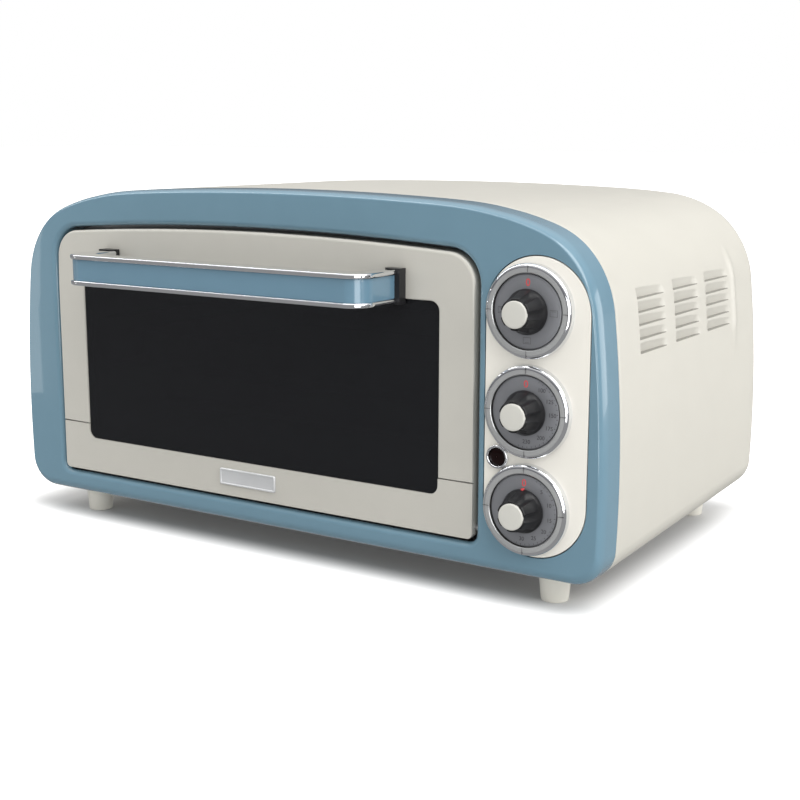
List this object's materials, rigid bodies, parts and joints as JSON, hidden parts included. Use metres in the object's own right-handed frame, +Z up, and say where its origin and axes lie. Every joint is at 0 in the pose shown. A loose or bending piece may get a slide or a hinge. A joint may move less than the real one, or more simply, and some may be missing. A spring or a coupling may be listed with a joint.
{
  "type": "toaster oven",
  "caption": "Countertop toaster oven with a rounded metal shell, a drop-down glass door under a wide bar handle, and rotary dials in a side panel.",
  "frame": {"origin": "on the table under the feet, in the middle of the outline seen from above, handle included", "axes": "+X to the right seen from the front, +Y towards the back, +Z up"},
  "size_m": [0.4632, 0.3286, 0.2435],
  "materials": {
    "blue_enamel": "glossy sprayed enamel",
    "cream_enamel": "satin sprayed enamel",
    "cream_plastic": "moulded, slight gloss",
    "chrome_trim": "bright plated",
    "dial_metal": "satin",
    "black_plastic": "moulded, fine texture",
    "tinted_glass": "dark tinted, polished",
    "lamp_red": "deep red, polished",
    "sheet_steel": "bare zinc-coated sheet",
    "steel_parts": "turned or drawn steel",
    "pan_enamel": "dark baked enamel",
    "white_ceramic": "unglazed",
    "switch_plastic": "moulded",
    "timer_brass": "stamped",
    "bulb_copper": "drawn copper tube",
    "lead_insulation": "soft silicone sleeve"
  },
  "bodies": {
    "oven_body": {"front_bezel": "blue_enamel", "body_shell": "cream_enamel", "back_cover": "cream_enamel", "control_panel": "cream_enamel", "feet": "cream_plastic", "dial_ring_function": "chrome_trim", "dial_ring_thermostat": "chrome_trim", "dial_ring_timer": "chrome_trim", "pilot_lamp_ring": "chrome_trim", "dial_plate_function": "dial_metal", "dial_plate_thermostat": "dial_metal", "dial_plate_timer": "dial_metal", "cord_gland": "black_plastic", "function_switch": "black_plastic", "pilot_lamp_lens": "lamp_red", "base_plate": "sheet_steel", "front_frame": "sheet_steel", "oven_cavity": "sheet_steel", "cavity_back": "sheet_steel", "heat_shield": "sheet_steel", "hinge_bracket_left": "sheet_steel", "hinge_bracket_right": "sheet_steel", "timer_bell": "sheet_steel", "door_spring": "steel_parts", "foot_screws": "steel_parts", "case_screws": "steel_parts", "heater_upper": "steel_parts", "heater_lower": "steel_parts", "heater_insulators": "white_ceramic", "terminal_block": "white_ceramic", "thermostat_body": "white_ceramic", "pilot_lamp_body": "switch_plastic", "timer_body": "timer_brass", "thermostat_bulb": "bulb_copper", "wiring": "lead_insulation"},
    "door": {"door_panel": "cream_enamel", "door_lower_panel": "cream_enamel", "door_inner_frame": "sheet_steel", "door_glass": "tinted_glass", "badge_plate": "chrome_trim", "handle_bar": "blue_enamel", "handle_trim_top": "chrome_trim", "handle_trim_bottom": "chrome_trim", "handle_bracket_left": "black_plastic", "handle_bracket_right": "black_plastic", "handle_screws": "steel_parts", "hinge_pins": "steel_parts"},
    "function_control": {"knob_function": "black_plastic", "knob_cap_function": "cream_plastic", "shaft_function": "steel_parts"},
    "thermostat_control": {"knob_thermostat": "black_plastic", "knob_cap_thermostat": "cream_plastic", "shaft_thermostat": "steel_parts"},
    "timer_control": {"knob_timer": "black_plastic", "knob_cap_timer": "cream_plastic", "shaft_timer": "steel_parts"},
    "rack": {"wire_rack": "chrome_trim", "baking_pan": "pan_enamel"},
    "tray": {"crumb_tray": "sheet_steel"}
  },
  "joints": [
    {"name": "door_hinge", "type": "hinge", "parent": "oven_body", "child": "door", "pos_m": [-0.0236, -0.11325, 0.044], "axis": [1, 0, 0], "range_deg": [0, 82]},
    {"name": "function_knob_turn", "type": "hinge", "parent": "oven_body", "child": "function_control", "pos_m": [0.184, -0.11975, 0.1798], "axis": [0, 1, 0], "range_deg": [0, 270]},
    {"name": "thermostat_knob_turn", "type": "hinge", "parent": "oven_body", "child": "thermostat_control", "pos_m": [0.184, -0.11975, 0.1212], "axis": [0, 1, 0], "range_deg": [0, 270]},
    {"name": "timer_knob_turn", "type": "hinge", "parent": "oven_body", "child": "timer_control", "pos_m": [0.184, -0.11975, 0.0626], "axis": [0, 1, 0], "range_deg": [0, 300]},
    {"name": "rack_slide", "type": "slide", "parent": "oven_body", "child": "rack", "axis": [0, -1, 0], "range_m": [0, 0.06]},
    {"name": "crumb_tray_slide", "type": "slide", "parent": "oven_body", "child": "tray", "axis": [0, 1, 0], "range_m": [0, 0.2]}
  ],
  "couplings": [
    {"joint": "rack_slide", "follows": "door_hinge", "m_per_rad": 0.04}
  ]
}
